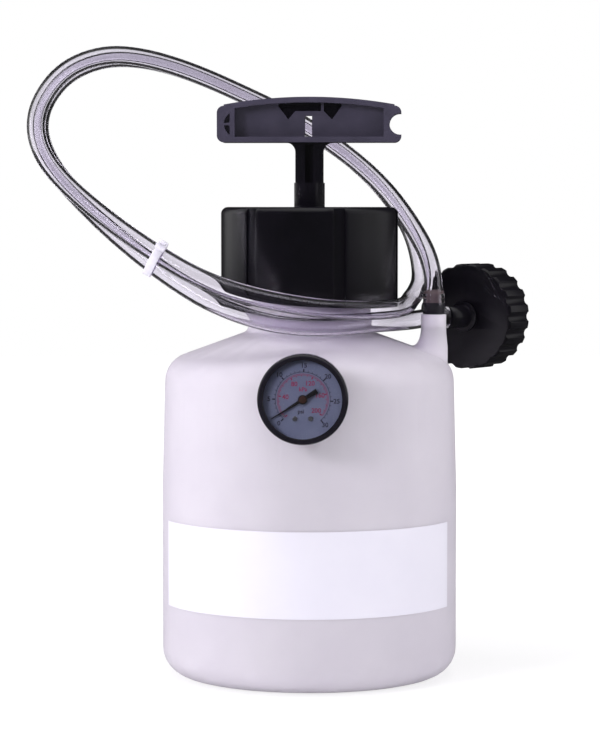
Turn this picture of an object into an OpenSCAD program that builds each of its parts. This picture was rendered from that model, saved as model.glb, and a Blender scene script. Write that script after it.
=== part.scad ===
// Hand-pumped pressure tank: a blow-moulded bottle with a plunger pump in its screw cap,
// a dial gauge on its front, and a clear hose that ends in a swivelling screw adapter.
// Millimetres. Origin at the middle of the base, +Z up, the gauge faces -Y.

/* [Tank] */
// Outer radius of the tank's straight wall
tank_r = 75.2; // [66:0.2:90]
// Height of the straight wall that carries the label
tank_straight_h = 96; // [84:1:120]
// Height at which the wall turns into the shoulder
shoulder_z = 150.6; // [140:0.2:180]
// How much narrower the wall is at the shoulder
tank_taper = 1.4; // [0:0.1:3]
// Wall of the tank
tank_wall = 2.2; // [1.6:0.1:3]
// Radius of the bottom corner
corner_r = 14; // [8:0.5:18]
// Radius of the shoulder's rounding
shoulder_r = 14; // [8:0.5:18]
// Slope of the shoulder, in degrees
shoulder_slope = 20; // [12:1:30]
// Radius of the fillet between shoulder and neck
neck_fillet = 3.5; // [1:0.5:6]
// Depth of the recess under the base
base_recess = 2.5; // [1:0.5:4]

/* [Neck] */
// Outer radius of the neck
neck_r = 31.4; // [28:0.2:35]
// Height from the neck's root to its mouth
neck_h = 51.7; // [48:0.1:64]
// Depth of one thread crest on the neck
crest_d = 2.9; // [1.5:0.1:3.5]
// Rise of the thread in one turn
thread_pitch = 6; // [4:0.5:8]

/* [Cap] */
// Outer radius of the screw cap
cap_r = 45.1; // [42:0.1:54]
// Height of the screw cap
cap_h = 49.5; // [44:0.5:55]
// Thickness of the cap's top
cap_top = 4.2; // [3:0.2:6]
// Radius of the cap's upper edge
cap_edge_r = 3.5; // [1:0.5:4]
// Wall of the cap's skirt and inner sleeve
cap_wall = 2.6; // [1.6:0.1:3]
// Number of grip panels
cap_panels = 6; // [4:1:12]
// Width of the groove between two panels
cap_groove_w = 6; // [3:0.5:9]
// Depth of the groove between two panels
cap_groove_d = 1.3; // [0.5:0.1:2]
// Direction of the first groove, in degrees from +X
cap_groove_az = -68.5; // [-90:0.5:90]

/* [Pump] */
// Bore radius of the pump barrel
barrel_bore_r = 17.8; // [14:0.2:20]
// Wall of the pump barrel
barrel_wall = 2.2; // [1.6:0.1:3]
// Height of the barrel's foot above the ground
barrel_foot_z = 44; // [30:1:60]
// Thickness of the barrel's foot and flange
barrel_plate = 3; // [2:0.5:5]
// Thickness of the gasket on the neck
gasket_h = 1.2; // [0.8:0.1:2.5]
// Length of the guide in the barrel's mouth
guide_h = 12; // [8:1:16]
// Radius of the plunger rod
rod_r = 7.8; // [6:0.2:9.6]
// Height of the piston
piston_h = 12; // [9:1:16]
// Gap between the piston and the barrel's foot
piston_gap = 11; // [9:1:20]
// Radius of the rod's end in the piston
rod_end_r = 5; // [3:0.2:5.4]
// Height of the piston's cup seal
seal_h = 5; // [3:0.5:7]
// Radius of the rubber check valve
valve_r = 12; // [9:0.5:15]
// Thickness of the rubber check valve
valve_t = 1.5; // [1:0.1:3]
// Radius of the check valve's stem
valve_stem_r = 2; // [1.2:0.1:2.5]
// Lift of the check valve
valve_lift = 1.5; // [1:0.1:3]

/* [Handle] */
// Length of the T-bar
bar_l = 93.5; // [84:0.5:120]
// Depth of the T-bar, front to back
bar_d = 17; // [12:0.5:22]
// Height of the T-bar at its middle
bar_h = 23; // [18:0.5:28]
// Fall of the T-bar's top towards its ends
bar_fall = 4.5; // [0:0.5:6]
// Radius of the T-bar's corners
bar_corner_r = 3.5; // [1:0.5:5]
// Thickness of the T-bar's flanges
bar_flange = 2.8; // [2:0.2:4]
// Thickness of the T-bar's web
bar_web = 3; // [2:0.2:5]
// Length of the solid block at the T-bar's left end
bar_block = 9; // [6:0.5:12]
// Depth of the open notch in the T-bar's right end
notch_d = 6; // [4:0.5:8]
// Height of the open notch
notch_h = 10.8; // [6:0.2:12]
// Width of the slot through the web
web_slot_w = 3.6; // [2:0.2:5]
// Height of the slot through the web
web_slot_h = 10.7; // [6:0.1:12]
// Height of the round collar above the cap
collar_h = 12; // [8:0.5:16]
// Height of the grooved stem above the collar
stem_h = 20.4; // [14:0.2:28]
// Width of the grooved stem
stem_w = 14; // [12:0.2:15]
// Depth of the grooved stem, front to back
stem_d = 13; // [10:0.5:14]
// Width of the stem's front and back groove
stem_groove_w = 4.2; // [2:0.2:6]
// Depth of the stem's front and back groove
stem_groove_d = 3.5; // [1:0.5:4]
// Radius of the fillets between stem and T-bar
stem_fillet = 5; // [2:0.5:7]

/* [Outlet] */
// Radius of the moulded outlet tower
tower_r = 6.4; // [5.5:0.1:7]
// Bore radius of the outlet tower
tower_bore_r = 3.6; // [3:0.1:4]
// Length of the barb inside the hose
barb_l = 12.5; // [10:0.5:16]
// Radius of the barb
barb_r = 4.2; // [3.6:0.1:4.4]
// Height of the black collar under the barb
collar_band_h = 6; // [3:0.5:7]
// Outer radius of the pickup tube
pickup_r = 3.15; // [2.5:0.05:3.2]
// Height of the pickup tube's open end
pickup_foot_z = 9; // [6:0.5:20]

/* [Hose] */
// Outer radius of the hose
hose_r = 4.75; // [4:0.05:5]
// Outer radius of the hose where it is stretched over a barb
hose_flare_r = 5.6; // [5:0.1:6]
// Number of sides of the hose
hose_sides = 12; // [8:1:16]

/* [Gauge] */
// Height of the gauge's middle
gauge_z = 147; // [110:1:150]
// Outer radius of the gauge's case
case_r = 20.6; // [18:0.2:24]
// Depth of the gauge's case
case_d = 12.4; // [12:0.1:16]
// Wall of the gauge's case
case_wall = 0.8; // [0.6:0.1:1.2]
// Radial thickness of the bezel
bezel_t = 1.2; // [0.8:0.1:2]
// Width of the bezel's front lip
bezel_lip = 3; // [2:0.1:4]
// Thickness of the lens
lens_t = 1.2; // [0.8:0.1:2]
// Thickness of the hexagon on the gauge's stem
hex_t = 3.5; // [3:0.5:6]
// Width across the flats of the hexagon
hex_af = 14; // [12:1:17]
// Radius of the stem's threaded shank
shank_r = 5; // [4:0.1:6]
// Length of the needle from its middle to its tip
needle_l = 17.7; // [12:0.1:18.5]
// Resting direction of the needle, in degrees from +X
needle_az = 211.7; // [200:0.1:225]
// Radius of the pinion
pinion_r = 1.6; // [1.2:0.1:2]
// Radius of the sector gear
sector_r = 6.4; // [5:0.1:7]
// Radius of the bent Bourdon tube
bourdon_r = 13.5; // [12:0.1:15]

/* [Adapter] */
// Outer radius of the adapter cap
adapter_r = 27.5; // [24:0.1:34]
// Thickness of the adapter cap
adapter_t = 19.4; // [16:0.1:24]
// Radius of the adapter's threaded socket
socket_r = 22.5; // [18:0.1:24]
// Thickness of the adapter cap's face
adapter_face = 4.5; // [3:0.1:6]
// Radius of the pocket round the elbow's nut
nut_pocket_r = 11; // [9.5:0.1:13]
// Number of scallops round the adapter cap
scallops = 20; // [12:1:28]
// Depth of the scallops
scallop_d = 1.4; // [0.5:0.1:2]
// Radius of the swivel stem
swivel_r = 6; // [4.5:0.1:6]
// Radius of the elbow's body
elbow_r = 5.8; // [5:0.1:6.4]

/* [Label] */
// Height of the label's lower edge
label_z = 38.3; // [20:0.1:50]
// Height of the label
label_h = 42.8; // [30:0.1:45]
// Half of the angle that the label wraps
label_half = 68.6; // [30:0.1:80]
// Thickness of the label
label_t = 0.25; // [0.15:0.05:0.5]

/* [Fits] */
// Radial clearance of a running fit
running = 0.05; // [0.02:0.01:0.1]
// Gap between faces of different moving pieces
gap = 0.3; // [0.2:0.05:0.5]

/* [Hidden] */
$fn = 96;
arc_step = 10;
foot_in_r = tank_r - corner_r - 14;
foot_slope = 3;
neck_bore_r = neck_r - tank_wall;

// Tank outline
top_r = tank_r - tank_taper;
shoulder_c = [top_r - shoulder_r, shoulder_z];
slope_start = [shoulder_c[0] + shoulder_r * sin(shoulder_slope),
               shoulder_c[1] + shoulder_r * cos(shoulder_slope)];
fillet_x = neck_r + neck_fillet;
slope_end = [fillet_x - neck_fillet * sin(shoulder_slope),
             slope_start[1] + (slope_start[0] - fillet_x + neck_fillet * sin(shoulder_slope))
             * tan(shoulder_slope)];
fillet_c = [fillet_x, slope_end[1] + neck_fillet * cos(shoulder_slope)];
neck_root_z = fillet_c[1];
neck_top_z = neck_root_z + neck_h;

// Stack above the neck
flange_z = neck_top_z + gap + gasket_h;
flange_top_z = flange_z + barrel_plate;
cap_ceiling_z = flange_top_z + gap;
cap_top_z = cap_ceiling_z + cap_top;
cap_foot_z = cap_top_z - cap_h;
cap_bore_r = neck_r + crest_d + gap;
rod_hole_r = rod_r + gap;

// Pump
barrel_r = barrel_bore_r + barrel_wall;
piston_z = barrel_foot_z + barrel_plate + piston_gap;
piston_top_z = piston_z + piston_h;
piston_slack = 0.5;
seal_groove_d = 3.5;
clip_t = 1.2;
clip_d = 2.5;
tenon_r = 5.5;
wiper_h = 2;
wiper_w = 2.2;
collar_z = cap_top_z + gap;
stem_z = collar_z + collar_h;
bar_z = stem_z + stem_h;

// Gauge, along -Y from the boss on the tank
boss_r = 11;
boss_y = tank_r + 0.4;
boss_depth = 5.4;
washer_t = 1;
hex_y = boss_y + washer_t;
case_y = hex_y + hex_t;
rim_y = case_y + case_d;
lens_seal_t = 0.9;
lens_y = rim_y + lens_seal_t;
lip_y = lens_y + lens_t;
lip_t = 0.8;
bezel_r = case_r + bezel_t + 0.1;
bezel_depth = 9;
dial_y = rim_y - 1.6;
dial_t = 0.5;
dial_gap = 0.4;
plate_t = 0.6;
plate_back_y = case_y + 6.2;
plate_front_y = dial_y - dial_gap - plate_t;
arbor_r = 0.6;
needle_y = dial_y + dial_t + 0.6;
needle_t = 0.4;
gear_t = 1;
gear_y = (plate_back_y + plate_t + plate_front_y) / 2 - gear_t / 2;
sector_drop = sector_r + pinion_r + 0.15;
screw_x = 3.75;
screw_drop = 9.2;
screw_r = 0.7;
pillar_x = 9;

// Adapter, square to its own axis
adapter_az = 238.2;
adapter_at = [79.9, 32.4, 182];
barb_az = 210;
adapter_dir = [cos(adapter_az), sin(adapter_az), 0];
barb_dir = [cos(barb_az), sin(barb_az), 0];
elbow_h = 10.5;
elbow_at = adapter_at + elbow_h * adapter_dir;
elbow_neck = 4.85;
elbow_barb_l = 9;
hose_bore_r = barb_r + running;
elbow_barb_r = 3.9;
elbow_bore_r = elbow_barb_r + 2 * running;
elbow_way_r = 1.8;
gasket_in_r = 14;
adapter_gasket_t = 2;
nut_r = 9;
nut_t = 4;
// Depths behind the adapter's face: the end of the elbow's stem, then the gasket's front and back
stem_depth = adapter_face + gap + nut_t + 1;
seal_depth = stem_depth + gap;
seat_depth = seal_depth - adapter_gasket_t;

// Centre line of the hose, from the outlet tower round the pump twice to the elbow
HOSE_ROUTE = [
    [63.4, 0, 184.6], [63.4, 0, 197], [61.5, 3, 210.5], [55.5, 13, 224], [41, 36, 245], [22, 53, 263.5],
    [-5, 62, 282.5], [-38, 61, 299], [-72, 48, 313], [-103, 31, 318.5], [-127, 14, 309], [-139, -4, 287],
    [-134, -18, 265], [-114, -31, 244], [-83, -45, 221.5], [-50, -56.5, 203], [-18, -60, 193.5],
    [12, -58, 189], [36, -43, 188], [48, -22, 189], [51.5, -4, 192], [55.5, 10, 197.5], [57, 22, 206],
    [53, 39, 224], [41, 53, 244], [22, 64.5, 263.5], [-5, 73, 282], [-38, 72, 299], [-72, 59.5, 313],
    [-103, 43.5, 317.5], [-127, 27, 308], [-139, 9, 287], [-134, -5.5, 265], [-114, -20, 241.5],
    [-83, -36.5, 215], [-50, -50.5, 193.5], [-18, -59, 182.5], [10, -52, 180], [31, -34, 181],
    [43, -13, 181], [52, 6, 181], [61.5, 16.1, 182], [70.2, 21.1, 182]];
hose_steps = 2;
route_last = len(HOSE_ROUTE) - 1;
hose_round = 1 / cos(180 / hose_sides);

// The outlet stands under the first point of the route
outlet_x = HOSE_ROUTE[0][0];
tower_top_z = HOSE_ROUTE[0][2] - gap;
spigot_l = 12;
spigot_z = tower_top_z - spigot_l;
pickup_wall = 1;

// The tie lies across both turns of the hose
tie_at = [-75, -44.4, 213];
tie_lean = 118;
tie_az = -19;
tie_roll = 225;
tie_w = 3.4;
tie_t = 1.1;
strand_half = 5.3;

// An arc of points round c, from angle a to angle b
function arc(c, r, a, b) = let (n = max(1, ceil(abs(b - a) / arc_step)))
    [for (i = [0:n]) c + r * [cos(a + (b - a) * i / n), sin(a + (b - a) * i / n)]];

// The tank's outline at a depth d inside its skin, from the base to the neck's mouth
function tank_line(d) = concat(
    [[0, base_recess + d], [foot_in_r, base_recess + d], [foot_in_r + foot_slope, d]],
    arc([tank_r - corner_r, corner_r], corner_r - d, -90, 0),
    [[tank_r - d, tank_straight_h]],
    arc(shoulder_c, shoulder_r - d, 0, 90 - shoulder_slope),
    arc(fillet_c, neck_fillet + d, 270 - shoulder_slope, 180),
    [[neck_r - d, neck_top_z], [0, neck_top_z]]);

// A point of the smooth curve through four route points
function blend(a, b, c, d, t) = 0.5 * (2 * b + (c - a) * t + (2 * a - 5 * b + 4 * c - d) * t * t
    + (3 * b - a - 3 * c + d) * t * t * t);
function route(i) = i < 0 ? 2 * HOSE_ROUTE[0] - HOSE_ROUTE[1]
    : i > route_last ? 2 * HOSE_ROUTE[route_last] - HOSE_ROUTE[route_last - 1] : HOSE_ROUTE[i];
hose_line = concat([for (i = [0:route_last - 1]) for (k = [0:hose_steps - 1])
    blend(route(i - 1), route(i), route(i + 1), route(i + 2), k / hose_steps)], [HOSE_ROUTE[route_last]]);

function unit(v) = v / norm(v);
function tangent(line, i) = unit(line[min(i + 1, len(line) - 1)] - line[max(i - 1, 0)]);
// A side direction carried along the line without twisting
function sides(line, i, side) = let (t = tangent(line, i), s = unit(side - (side * t) * t))
    i == len(line) - 1 ? [s] : concat([s], sides(line, i + 1, s));

// A tube of sides n swept along a line, with a radius for each ring
module swept_tube(line, radii, n) {
    s = sides(line, 0, [0, 1, 0]);
    last = len(line) - 1;
    points = [for (i = [0:last]) let (t = tangent(line, i), b = cross(t, s[i]))
        for (k = [0:n - 1]) line[i] + radii[i] * (cos(360 * k / n) * s[i] + sin(360 * k / n) * b)];
    walls = [for (i = [0:last - 1]) for (k = [0:n - 1]) let (j = (k + 1) % n)
        for (f = [[i * n + k, i * n + j, (i + 1) * n + j], [i * n + k, (i + 1) * n + j, (i + 1) * n + k]]) f];
    ends = [for (k = [1:n - 2]) for (f = [[0, k + 1, k], [last * n, last * n + k, last * n + k + 1]]) f];
    polyhedron([for (p = points) p], [for (f = concat(walls, ends)) [f[2], f[1], f[0]]]);
}

// A cylinder along -Y, from depth a to depth b, on the gauge's axis
module gauge_rod(r, a, b, x = 0, drop = 0) {
    translate([x, -a, gauge_z - drop]) rotate([90, 0, 0]) cylinder(r = r, h = b - a);
}
module gauge_ring(r_out, r_in, a, b) {
    difference() {
        gauge_rod(r_out, a, b);
        gauge_rod(r_in, a - 1, b + 1);
    }
}
module ring(r_out, r_in, h) {
    difference() {
        cylinder(r = r_out, h = h);
        translate([0, 0, -1]) cylinder(r = r_in, h = h + 2);
    }
}
// Places a child whose Z runs along the adapter's axis, out of its face
module on_adapter() { translate(adapter_at) rotate([0, 90, adapter_az]) children(); }
// Places a child whose Z runs along the elbow's barb
module on_barb() { translate(elbow_at) rotate([0, 90, barb_az]) children(); }
// A hose barb with sloping ridges, standing on z = 0
module ridged_barb(r, l) {
    pitch = l / 3;
    for (i = [0:2]) translate([0, 0, i * pitch]) cylinder(r1 = r, r2 = r * 0.82, h = pitch);
}

module tank() {
    crest_z = [for (i = [0:2]) cap_foot_z + 12 + i * thread_pitch];
    tower_z = shoulder_z + 6;
    color([0.86, 0.85, 0.85]) difference() {
        union() {
            rotate_extrude() polygon(tank_line(0));
            for (z = crest_z) translate([0, 0, z]) rotate_extrude()
                polygon([[neck_r - 1, -1.5], [neck_r, -1.5], [neck_r + crest_d, -0.5], [neck_r + crest_d, 0.5],
                         [neck_r, 1.5], [neck_r - 1, 1.5]]);
            translate([outlet_x, 0, tower_z]) cylinder(r = tower_r, h = tower_top_z - tower_z);
            gauge_rod(boss_r, boss_y - boss_depth, boss_y);
        }
        rotate_extrude() polygon(tank_line(tank_wall));
        translate([0, 0, neck_top_z - 1]) cylinder(r = neck_bore_r, h = 2);
        translate([outlet_x, 0, shoulder_z]) cylinder(r = tower_bore_r, h = tower_top_z);
        gauge_rod(shank_r + gap, boss_y - 3 * boss_depth, boss_y + 1);
    }
}

module label() {
    color("white") translate([0, 0, label_z]) rotate([0, 0, -90 - label_half])
        rotate_extrude(angle = 2 * label_half) translate([tank_r, 0]) square([label_t, label_h]);
}

module outlet_barb() {
    color([0.55, 0.48, 0.46]) difference() {
        union() {
            translate([outlet_x, 0, spigot_z]) cylinder(r = tower_bore_r - running, h = spigot_l);
            translate([outlet_x, 0, tower_top_z]) cylinder(r = barb_r - 0.9, h = collar_band_h + 0.1);
            translate([outlet_x, 0, tower_top_z + collar_band_h]) ridged_barb(barb_r, barb_l - collar_band_h);
        }
        translate([outlet_x, 0, spigot_z - 1]) cylinder(r = pickup_r - pickup_wall, h = spigot_l + barb_l + 2);
    }
}
module outlet_collar() {
    color([0.1, 0.1, 0.11]) translate([outlet_x, 0, tower_top_z])
        ring(barb_r, barb_r - 0.9 + running, collar_band_h);
}
module pickup_tube() {
    color([0.85, 0.87, 0.88]) translate([outlet_x, 0, pickup_foot_z])
        ring(pickup_r, pickup_r - pickup_wall, spigot_z - pickup_foot_z);
}

module hose() {
    last = len(hose_line) - 1;
    ring_r = [for (i = [0:last]) hose_round * (i < hose_steps || i == last ? hose_flare_r : hose_r)];
    color([0.86, 0.87, 0.94, 0.6]) difference() {
        swept_tube(hose_line, ring_r, hose_sides);
        translate([outlet_x, 0, tower_top_z - 1]) cylinder(r = hose_bore_r, h = barb_l + 1.5);
        on_barb() translate([0, 0, elbow_neck - 1]) cylinder(r = elbow_bore_r, h = elbow_barb_l + 1.5);
    }
}
module zip_tie() {
    inner = strand_half + 0.3;
    color([0.93, 0.91, 0.9]) translate(tie_at) rotate([0, tie_lean, tie_az]) rotate([0, 0, tie_roll]) {
        translate([0, 0, -tie_w / 2]) linear_extrude(tie_w) difference() {
            tie_outline(inner + tie_t);
            tie_outline(inner);
        }
        translate([strand_half + inner + tie_t / 2, -3, -tie_w / 2 - 0.8]) cube([4, 6, tie_w + 1.6]);
        translate([strand_half + inner + 3.5, -0.8, -tie_w / 2]) cube([5, 1.6, tie_w]);
    }
}
module tie_outline(r) {
    for (side = [-1, 1]) translate([side * strand_half, 0]) circle(r);
    translate([-strand_half, -r]) square([2 * strand_half, 2 * r]);
}

// Keeps the half of a child before (side -1) or past (side 1) the elbow's mitre plane
module mitred(side) {
    reach = 60;
    intersection() {
        children();
        translate(elbow_at) rotate([0, 90, (adapter_az + barb_az) / 2])
            translate([-reach / 2, -reach / 2, side < 0 ? -reach : 0]) cube(reach);
    }
}
// A round bar of radius r that follows the elbow's two legs
module elbow_bar(r, stem_l, barb_l) {
    mitred(-1) on_adapter() translate([0, 0, elbow_h - stem_l]) cylinder(r = r, h = stem_l + r);
    mitred(1) on_barb() translate([0, 0, -r]) cylinder(r = r, h = barb_l + r);
}
module hose_elbow() {
    stem_l = stem_depth + elbow_h;
    color([0.16, 0.16, 0.2]) difference() {
        union() {
            elbow_bar(elbow_r, elbow_h - gap, elbow_neck - 2 * gap);
            on_adapter() {
                translate([0, 0, elbow_h - stem_l]) cylinder(r = swivel_r, h = stem_l - elbow_h + 1);
                translate([0, 0, gap]) cylinder(r = swivel_r + 2, h = 2);
            }
            on_barb() {
                cylinder(r = elbow_barb_r - 0.7, h = elbow_neck + 1);
                translate([0, 0, elbow_neck]) ridged_barb(elbow_barb_r, elbow_barb_l);
            }
        }
        elbow_bar(elbow_way_r, stem_l + 1, elbow_neck + elbow_barb_l + 1);
    }
}
module elbow_nut() {
    color([0.75, 0.7, 0.55]) on_adapter() translate([0, 0, -adapter_face - gap - nut_t]) difference() {
        cylinder(r = nut_r, h = nut_t, $fn = 6);
        translate([0, 0, -1]) cylinder(r = swivel_r + running, h = nut_t + 2);
    }
}

module gauge_seal() { color([0.1, 0.1, 0.1]) gauge_ring(shank_r + 4.5, shank_r + gap, boss_y, hex_y); }
module gauge_stem() {
    color([0.78, 0.66, 0.4]) difference() {
        union() {
            gauge_rod(shank_r, boss_y - 3 * boss_depth, hex_y + 0.5);
            translate([0, -hex_y, gauge_z]) rotate([90, 0, 0]) cylinder(r = hex_af / sqrt(3), h = hex_t, $fn = 6);
            gauge_rod(4, case_y - 0.5, case_y + case_wall + 1);
            translate([-4.5, -plate_back_y, gauge_z - 4.5]) cube([9, plate_back_y - case_y - case_wall, 9]);
            translate([-3, -plate_back_y + 0.8, gauge_z - bourdon_r - 1.6])
                cube([6, plate_back_y - case_y - case_wall - 0.8, bourdon_r]);
        }
        gauge_rod(1.5, boss_y - 4 * boss_depth, plate_back_y - 1.5);
    }
}
module gauge_nut() {
    color([0.78, 0.66, 0.4]) difference() {
        translate([0, -(tank_r - tank_wall - 3.2), gauge_z]) rotate([-90, 0, 0]) cylinder(r = 9, h = 4, $fn = 6);
        gauge_rod(shank_r + running, boss_y - 4 * boss_depth, boss_y);
    }
}
module gauge_case() {
    color([0.06, 0.06, 0.07]) difference() {
        gauge_rod(case_r, case_y, rim_y);
        gauge_rod(case_r - case_wall, case_y + case_wall, rim_y + 1);
        gauge_rod(4 + running, case_y - 1, rim_y);
    }
}
module gauge_bezel() {
    color([0.05, 0.05, 0.06]) difference() {
        gauge_rod(bezel_r, lip_y + lip_t - bezel_depth, lip_y + lip_t);
        gauge_rod(case_r + 0.1, 0, lip_y);
        gauge_rod(bezel_r - bezel_lip, 0, lip_y + 2);
    }
}
module gauge_lens() { color([0.85, 0.9, 0.95, 0.3]) gauge_rod(case_r, lens_y, lip_y); }
module lens_seal() { color([0.12, 0.12, 0.12]) gauge_ring(case_r, case_r - 1.4, rim_y, lens_y); }
module gauge_dial() {
    color([0.7, 0.74, 0.84]) difference() {
        gauge_rod(case_r - case_wall - running, dial_y, dial_y + dial_t);
        gauge_rod(arbor_r + gap, 0, rim_y);
        for (s = [-1, 1]) gauge_rod(screw_r + running, 0, rim_y, s * screw_x, screw_drop);
    }
}
module dial_screws() {
    color([0.8, 0.8, 0.82]) for (s = [-1, 1]) {
        gauge_rod(screw_r, plate_front_y, dial_y + dial_t + 0.1, s * screw_x, screw_drop);
        gauge_rod(screw_r + 0.5, dial_y + dial_t, dial_y + dial_t + 0.4, s * screw_x, screw_drop);
    }
}
module bourdon_tube() {
    start = asin((3 + gap) / bourdon_r);
    color([0.82, 0.68, 0.42]) translate([0, -case_y - case_wall - 1, gauge_z]) rotate([90, 90 - start, 0])
        rotate_extrude(angle = 250) translate([bourdon_r - 0.7, 0]) square([1.4, 3.4]);
}
module movement_plates() {
    color([0.8, 0.68, 0.44]) difference() {
        union() {
            for (y = [plate_back_y, plate_front_y])
                translate([-pillar_x - 1.5, -y - plate_t, gauge_z - 11.5]) cube([2 * pillar_x + 3, plate_t, 15]);
            for (s = [-1, 1]) gauge_rod(1, plate_back_y, plate_front_y + plate_t, s * pillar_x, -2);
        }
        gauge_rod(arbor_r + running, 0, rim_y);
        gauge_rod(arbor_r + running, 0, rim_y, 0, sector_drop);
        for (s = [-1, 1]) gauge_rod(screw_r + running, 0, rim_y, s * screw_x, screw_drop);
    }
}
module stop_pin() {
    color([0.8, 0.8, 0.82]) translate([12 * cos(needle_az + 7), 0, 12 * sin(needle_az + 7)])
        gauge_rod(0.35, dial_y + dial_t, needle_y + needle_t + 0.2);
}
module needle() {
    tail_l = 8;
    hub_r = 2.3;
    color([0.05, 0.05, 0.05]) translate([0, -needle_y, gauge_z]) rotate([90, 0, 0]) rotate([0, 0, needle_az])
        difference() {
            union() {
                linear_extrude(needle_t) polygon([[-tail_l, -1.3], [-2, -0.9], [needle_l, -0.2], [needle_l, 0.2],
                                                  [-2, 0.9], [-tail_l, 1.3]]);
                cylinder(r = hub_r, h = needle_t + 0.4);
            }
            translate([0, 0, -1]) cylinder(r = arbor_r + 0.02, h = 3);
        }
}
module pinion() {
    color([0.82, 0.7, 0.45]) {
        gauge_rod(arbor_r, plate_back_y + 0.1, needle_y + needle_t + 0.2);
        gauge_rod(pinion_r, gear_y, gear_y + gear_t);
    }
}
module sector_gear() {
    half = 40;
    color([0.82, 0.7, 0.45]) translate([0, 0, gauge_z - sector_drop]) rotate([90, 0, 0]) {
        translate([0, 0, gear_y]) intersection() {
            cylinder(r = sector_r, h = gear_t);
            linear_extrude(gear_t) polygon([[0, -1.5], [sector_r * sin(half), sector_r * cos(half)],
                [sector_r, 3 * sector_r], [-sector_r, 3 * sector_r], [-sector_r * sin(half), sector_r * cos(half)]]);
        }
        translate([0, 0, gear_y]) cylinder(r = 1.5, h = gear_t);
        translate([0, 0, plate_back_y + 0.1]) cylinder(r = arbor_r, h = plate_front_y + plate_t - plate_back_y - 0.2);
    }
}

module pump_barrel() {
    port_r = 2;
    color([0.15, 0.15, 0.16]) difference() {
        union() {
            translate([0, 0, barrel_foot_z]) cylinder(r = barrel_r, h = flange_z - barrel_foot_z + 1);
            translate([0, 0, flange_z]) cylinder(r = neck_r + 0.6, h = barrel_plate);
        }
        translate([0, 0, barrel_foot_z + barrel_plate]) cylinder(r = barrel_bore_r, h = flange_top_z);
        translate([0, 0, barrel_foot_z - 1]) cylinder(r = valve_stem_r + running, h = barrel_plate + 2);
        for (i = [0:5]) rotate([0, 0, 60 * i]) translate([(valve_r + valve_stem_r) / 2, 0, barrel_foot_z - 1])
            cylinder(r = port_r, h = barrel_plate + 2);
    }
}
module barrel_guide() {
    color([0.2, 0.2, 0.22]) translate([0, 0, flange_top_z - guide_h]) difference() {
        cylinder(r = barrel_bore_r - running, h = guide_h);
        translate([0, 0, -1]) cylinder(r = rod_r + running, h = guide_h + 2);
        translate([0, 0, guide_h - wiper_h]) cylinder(r = rod_r + wiper_w, h = wiper_h + 1);
    }
}
module rod_wiper() {
    color([0.08, 0.08, 0.08]) translate([0, 0, flange_top_z - wiper_h])
        ring(rod_r + wiper_w - running, rod_r + running, wiper_h);
}
module neck_gasket() {
    color([0.1, 0.1, 0.1]) translate([0, 0, flange_z - gasket_h]) ring(neck_r + 0.3, barrel_r + 1, gasket_h);
}

module screw_cap() {
    sleeve_r = cap_bore_r + cap_wall;
    skirt_r = cap_r - cap_groove_d - cap_wall;
    color([0.1, 0.1, 0.12]) difference() {
        translate([0, 0, cap_foot_z]) rotate_extrude() polygon(concat(
            [[0, 0], [cap_r - 0.6, 0], [cap_r, 0.6]],
            arc([cap_r - cap_edge_r, cap_h - cap_edge_r], cap_edge_r, 0, 90), [[0, cap_h]]));
        translate([0, 0, cap_foot_z - 1]) cylinder(r = cap_bore_r, h = cap_h - cap_top + 1);
        translate([0, 0, cap_foot_z]) cylinder(r = rod_hole_r, h = cap_h + 1);
        for (i = [0:cap_panels - 1]) rotate([0, 0, cap_groove_az + i * 360 / cap_panels]) {
            translate([cap_r - cap_groove_d, -cap_groove_w / 2, cap_foot_z - 1])
                cube([cap_groove_d + 2, cap_groove_w, cap_h + 2]);
            translate([0, 0, cap_foot_z - 1]) rotate([0, 0, 3]) rotate_extrude(angle = 360 / cap_panels - 6)
                translate([sleeve_r, 0]) square([skirt_r - sleeve_r, cap_h - cap_top]);
        }
    }
}

module piston() {
    groove_z = (piston_h - seal_h) / 2;
    color([0.85, 0.85, 0.83]) translate([0, 0, piston_z]) difference() {
        cylinder(r = barrel_bore_r - piston_slack, h = piston_h);
        translate([0, 0, -1]) cylinder(r = rod_end_r + running, h = piston_h + 2);
        translate([0, 0, groove_z]) ring(barrel_bore_r + 1, barrel_bore_r - seal_groove_d, seal_h);
    }
}
module piston_seal() {
    color([0.12, 0.12, 0.12]) translate([0, 0, piston_z + (piston_h - seal_h) / 2 + running])
        ring(barrel_bore_r - running, barrel_bore_r - seal_groove_d + running, seal_h - 2 * running);
}
module plunger_rod() {
    color([0.15, 0.15, 0.17]) difference() {
        union() {
            translate([0, 0, piston_z - clip_t - 2 * gap - 1]) cylinder(r = rod_end_r, h = piston_h + clip_t + 3);
            translate([0, 0, piston_top_z + gap]) cylinder(r = rod_r, h = collar_z - piston_top_z - gap);
            translate([0, 0, collar_z - 1]) cylinder(r = tenon_r, h = collar_h - 0.5);
        }
        translate([0, 0, piston_z - gap - clip_t]) ring(rod_end_r + 1, rod_end_r - 0.8, clip_t);
    }
}
module rod_clip() {
    color([0.7, 0.7, 0.72]) translate([0, 0, piston_z - gap - clip_t + running])
        ring(rod_end_r + clip_d, rod_end_r - 0.8 + running, clip_t - 2 * running);
}
module valve_disc() {
    color([0.1, 0.1, 0.1]) {
        translate([0, 0, barrel_foot_z - gap - valve_t]) cylinder(r = valve_r, h = valve_t);
        translate([0, 0, barrel_foot_z - gap - 0.5])
            cylinder(r = valve_stem_r, h = barrel_plate + 2 * gap + valve_lift + 1);
        translate([0, 0, barrel_foot_z + barrel_plate + gap + valve_lift]) cylinder(r = valve_stem_r + 1.2, h = 2);
    }
}

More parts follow.
